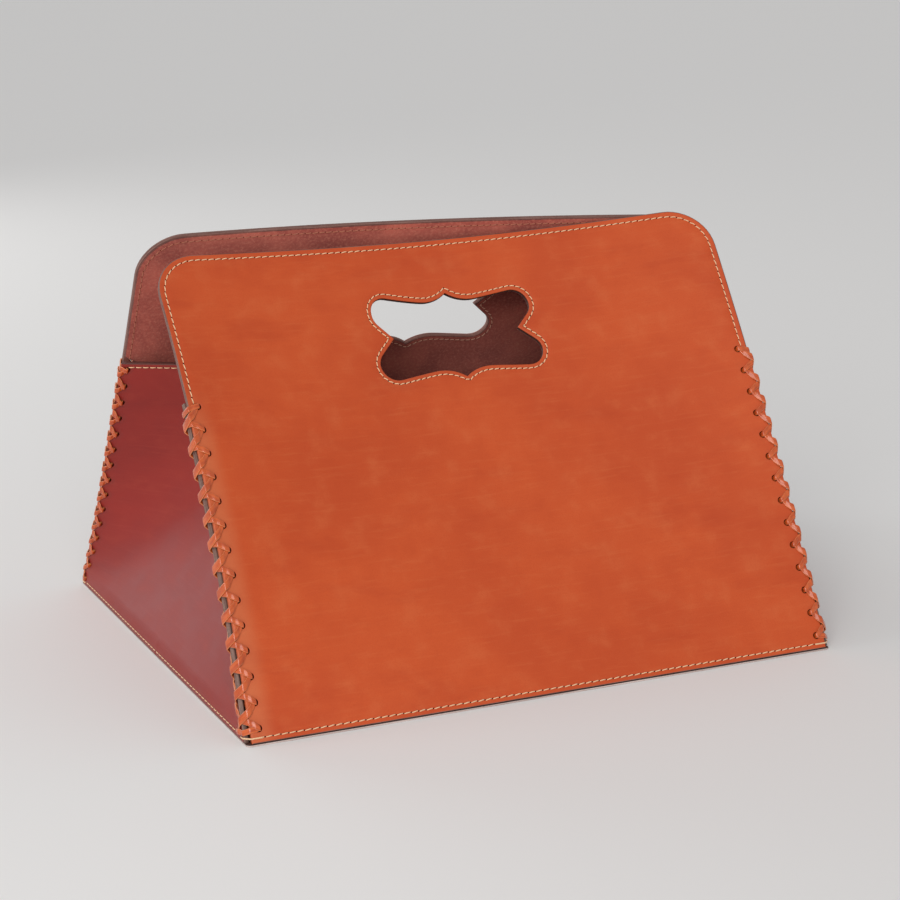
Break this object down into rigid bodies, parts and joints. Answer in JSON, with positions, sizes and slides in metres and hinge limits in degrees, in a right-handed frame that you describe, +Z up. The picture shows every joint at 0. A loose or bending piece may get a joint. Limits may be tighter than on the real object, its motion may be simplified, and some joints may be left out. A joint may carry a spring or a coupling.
{
  "type": "magazine basket",
  "caption": "Tent-shaped leather magazine basket: two leaning panels with ornamental hand cut-outs, laced to inward-folding gussets on a flat leather base.",
  "frame": {"origin": "centre of the base, on the floor", "axes": "+X to the basket's right, +Y to its back, +Z up; the panel with its outer face towards -Y is the front"},
  "size_m": [0.4308, 0.3698, 0.2879],
  "materials": {
    "panel_leather": "waxed saddle leather, semi-matt",
    "gusset_leather": "waxed saddle leather, semi-matt",
    "lace_leather": "smooth, polished",
    "base_leather": "matt",
    "suede": "suede",
    "board": "matt fibre board",
    "thread": "waxed thread"
  },
  "bodies": {
    "base": {"base_sole": "base_leather", "base_tray": "base_leather", "base_board": "board", "base_liner": "suede", "left_gusset_leather": "gusset_leather", "left_gusset_lining": "suede", "left_gusset_top_thread": "thread", "left_gusset_foot_thread": "thread", "right_gusset_leather": "gusset_leather", "right_gusset_lining": "suede", "right_gusset_top_thread": "thread", "right_gusset_foot_thread": "thread"},
    "front_panel": {"front_panel_leather": "panel_leather", "front_panel_lining": "suede", "front_panel_edge_thread": "thread", "front_cut_out_thread": "thread", "front_foot_thread": "thread", "front_base_flange": "base_leather", "front_left_lace": "lace_leather", "front_right_lace": "lace_leather"},
    "back_panel": {"back_panel_leather": "panel_leather", "back_panel_lining": "suede", "back_panel_edge_thread": "thread", "back_cut_out_thread": "thread", "back_foot_thread": "thread", "back_base_flange": "base_leather", "back_left_lace": "lace_leather", "back_right_lace": "lace_leather"}
  },
  "joints": [
    {"name": "front_panel_hinge", "type": "hinge", "parent": "base", "child": "front_panel", "pos_m": [0, -0.18485, 0.0019], "axis": [1, 0, 0], "range_deg": [0, 10], "deforming": ["left_gusset_leather", "left_gusset_lining", "left_gusset_top_thread", "right_gusset_leather", "right_gusset_lining", "right_gusset_top_thread"]},
    {"name": "back_panel_hinge", "type": "hinge", "parent": "base", "child": "back_panel", "pos_m": [0, 0.18485, 0.0019], "axis": [-1, 0, 0], "range_deg": [0, 10], "deforming": ["left_gusset_leather", "left_gusset_lining", "left_gusset_top_thread", "right_gusset_leather", "right_gusset_lining", "right_gusset_top_thread"]}
  ]
}
